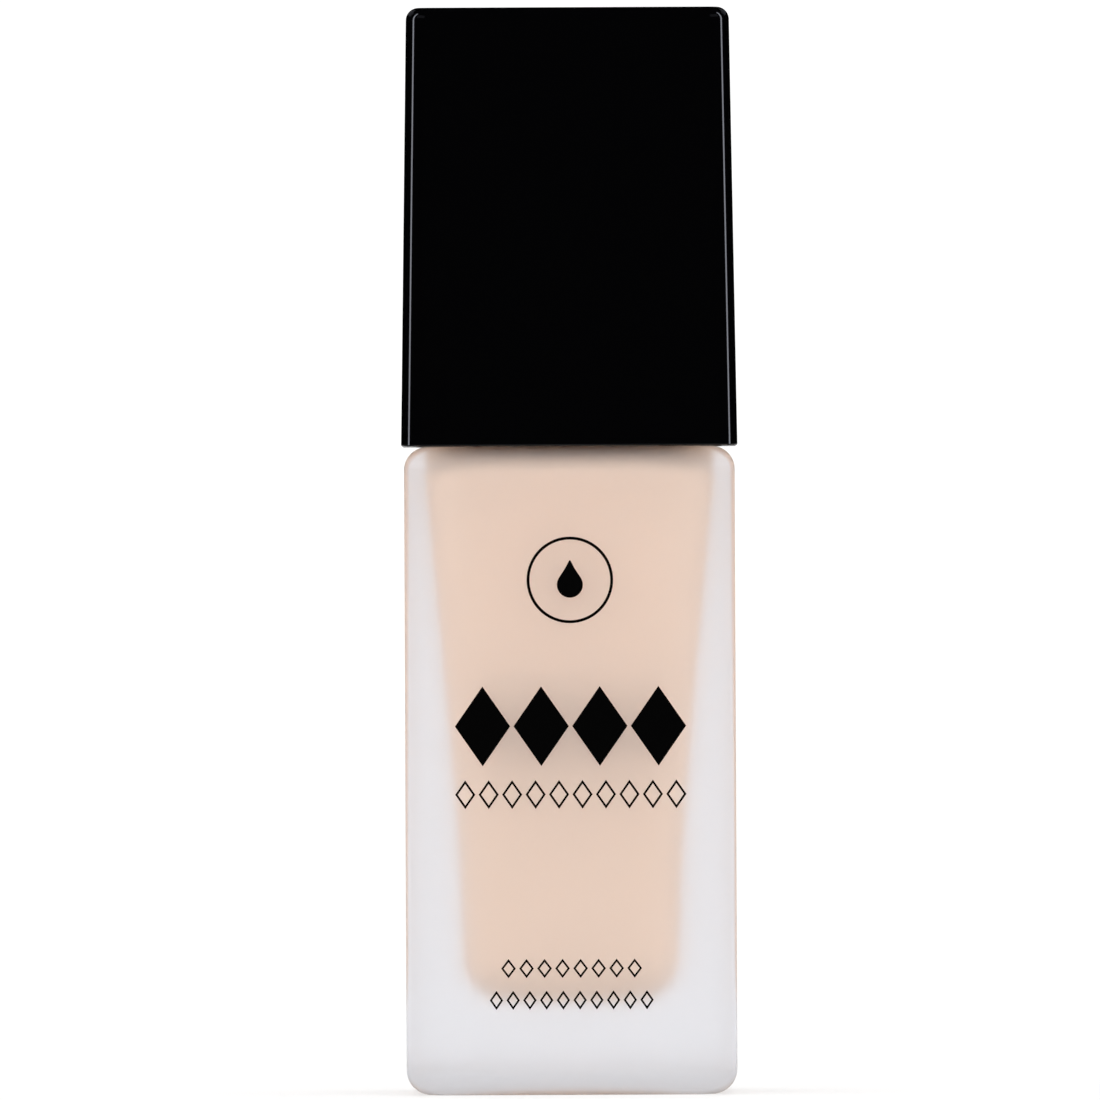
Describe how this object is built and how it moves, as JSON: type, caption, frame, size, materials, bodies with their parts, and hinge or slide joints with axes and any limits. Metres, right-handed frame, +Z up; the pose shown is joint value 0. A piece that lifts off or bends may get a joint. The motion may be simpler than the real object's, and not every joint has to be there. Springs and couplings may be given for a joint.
{
  "type": "foundation bottle",
  "caption": "Square frosted glass foundation bottle with a screw-on lotion pump and a tall glossy black square pull-off overcap.",
  "frame": {"origin": "centre of the bottle's base, on the surface that it stands on", "axes": "+Z up along the bottle, -Y towards the front face and the spout"},
  "size_m": [0.035, 0.035, 0.1132],
  "materials": {
    "frosted_glass": "etched matt outside, clear and thick-walled",
    "foundation": "opaque beige cream",
    "label_paper": "satin blank sticker",
    "gloss_black": "high-gloss black",
    "satin_black": "satin moulded black",
    "natural_plastic": "milky natural polypropylene",
    "piston_plastic": "waxy polyethylene",
    "tube_plastic": "translucent tube",
    "elastomer": "matt soft seal",
    "steel": "bright stainless wire and ball"
  },
  "bodies": {
    "bottle": {"glass_bottle": "frosted_glass", "foundation_liquid": "foundation", "base_label": "label_paper"},
    "overcap": {"overcap_shell": "gloss_black", "overcap_liner": "satin_black"},
    "pump": {"pump_housing": "natural_plastic", "housing_cap": "natural_plastic", "turret_seal": "elastomer", "neck_gasket": "elastomer", "dip_tube": "tube_plastic", "return_spring": "steel"},
    "closure": {"screw_closure": "satin_black", "closure_sleeve": "gloss_black"},
    "stem": {"stem": "natural_plastic", "stem_plug": "natural_plastic"},
    "piston": {"piston": "piston_plastic"},
    "inlet_ball": {"inlet_ball": "steel"},
    "actuator": {"actuator_shell": "gloss_black", "actuator_core": "natural_plastic", "nozzle_insert": "satin_black"}
  },
  "joints": [
    {"name": "overcap_lift", "type": "slide", "parent": "bottle", "child": "overcap", "axis": [0, 0, 1], "range_m": [0, 0.05]},
    {"name": "pump_rise", "type": "slide", "parent": "bottle", "child": "pump", "axis": [0, 0, 1], "range_m": [0, 0.0045]},
    {"name": "closure_turn", "type": "hinge", "parent": "pump", "child": "closure", "pos_m": [0, 0, 0.075], "axis": [0, 0, 1], "range_deg": [0, 540]},
    {"name": "pump_press", "type": "slide", "parent": "pump", "child": "stem", "axis": [0, 0, -1], "range_m": [0, 0.0045], "stiffness_N_per_m": 1500, "springref_m": -0.003, "deforming": ["return_spring"]},
    {"name": "piston_slip", "type": "slide", "parent": "stem", "child": "piston", "axis": [0, 0, 1], "range_m": [0, 0.0006]},
    {"name": "ball_lift", "type": "slide", "parent": "pump", "child": "inlet_ball", "axis": [0, 0, 1], "range_m": [0, 0.0011]},
    {"name": "actuator_swivel", "type": "hinge", "parent": "stem", "child": "actuator", "pos_m": [0, 0, 0.095], "axis": [0, 0, 1], "continuous": true}
  ],
  "couplings": [
    {"joint": "closure_turn", "follows": "pump_rise", "rad_per_m": 2094}
  ]
}
